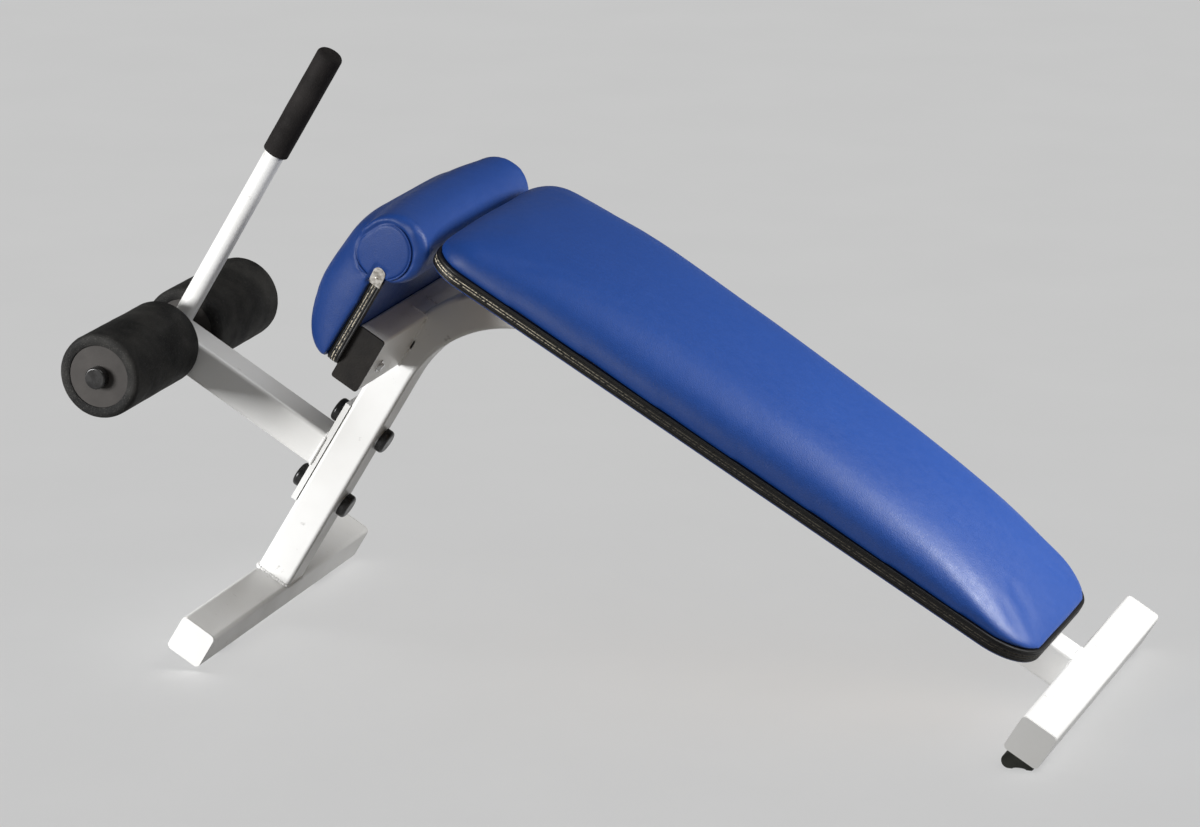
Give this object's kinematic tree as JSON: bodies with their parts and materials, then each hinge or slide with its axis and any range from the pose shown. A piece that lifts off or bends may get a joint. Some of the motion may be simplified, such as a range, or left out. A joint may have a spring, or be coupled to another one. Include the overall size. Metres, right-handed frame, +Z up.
{
  "type": "decline abdominal bench",
  "caption": "Sloped padded bench on a bent square-tube frame, with a rolled knee pad, a roller arm with foam ankle rollers and an upright pull handle.",
  "frame": {"origin": "on the floor, under the middle of the bench's overall box", "axes": "+X to the low rear end of the bench, +Y across it to the left side of a person lying on it, +Z up"},
  "size_m": [1.69, 0.646, 0.9752],
  "materials": {
    "white_paint": "gloss",
    "zinc_steel": "satin",
    "nickel": "polished",
    "black_plastic": "satin",
    "grey_plastic": "satin",
    "sleeve_plastic": "matte",
    "roller_foam": "matte",
    "grip_foam": "matte",
    "foot_rubber": "matte",
    "plywood": "matte",
    "blue_vinyl": "satin",
    "edge_trim": "satin"
  },
  "bodies": {
    "frame": {"frame_tube": "white_paint", "front_foot_tube": "white_paint", "rear_foot_tube": "white_paint", "foot_end_plates": "white_paint", "front_rubber_feet": "foot_rubber", "rear_rubber_feet": "foot_rubber", "cross_tube": "white_paint", "cross_tube_plugs": "black_plastic", "flange_plate": "white_paint", "roller_arm_tube": "white_paint", "roller_arm_plug": "black_plastic", "flange_bolts": "zinc_steel", "flange_nuts": "zinc_steel", "flange_washers": "zinc_steel", "bolt_caps": "black_plastic", "axle": "zinc_steel", "axle_spacers": "zinc_steel", "axle_caps": "black_plastic", "handle_tube": "white_paint", "handle_grip": "grip_foam", "back_pad_board": "plywood", "back_pad_cushion": "blue_vinyl", "back_pad_trim": "edge_trim", "back_pad_bolts": "zinc_steel", "back_pad_washers": "zinc_steel", "back_pad_tee_nuts": "zinc_steel", "knee_pad_board": "plywood", "knee_pad_cushion": "blue_vinyl", "knee_pad_trim": "edge_trim", "trim_clips": "nickel", "knee_pad_bolts": "zinc_steel", "knee_pad_washers": "zinc_steel", "knee_pad_tee_nuts": "zinc_steel"},
    "near_roller": {"near_roller_foam": "roller_foam", "near_roller_core": "sleeve_plastic", "near_roller_discs": "grey_plastic"},
    "far_roller": {"far_roller_foam": "roller_foam", "far_roller_core": "sleeve_plastic", "far_roller_discs": "grey_plastic"}
  },
  "joints": [
    {"name": "near_roller_spin", "type": "hinge", "parent": "frame", "child": "near_roller", "pos_m": [-0.7758, -0.1625, 0.46658], "axis": [0, 1, 0], "continuous": true},
    {"name": "far_roller_spin", "type": "hinge", "parent": "frame", "child": "far_roller", "pos_m": [-0.7758, 0.1625, 0.46658], "axis": [0, 1, 0], "continuous": true}
  ]
}
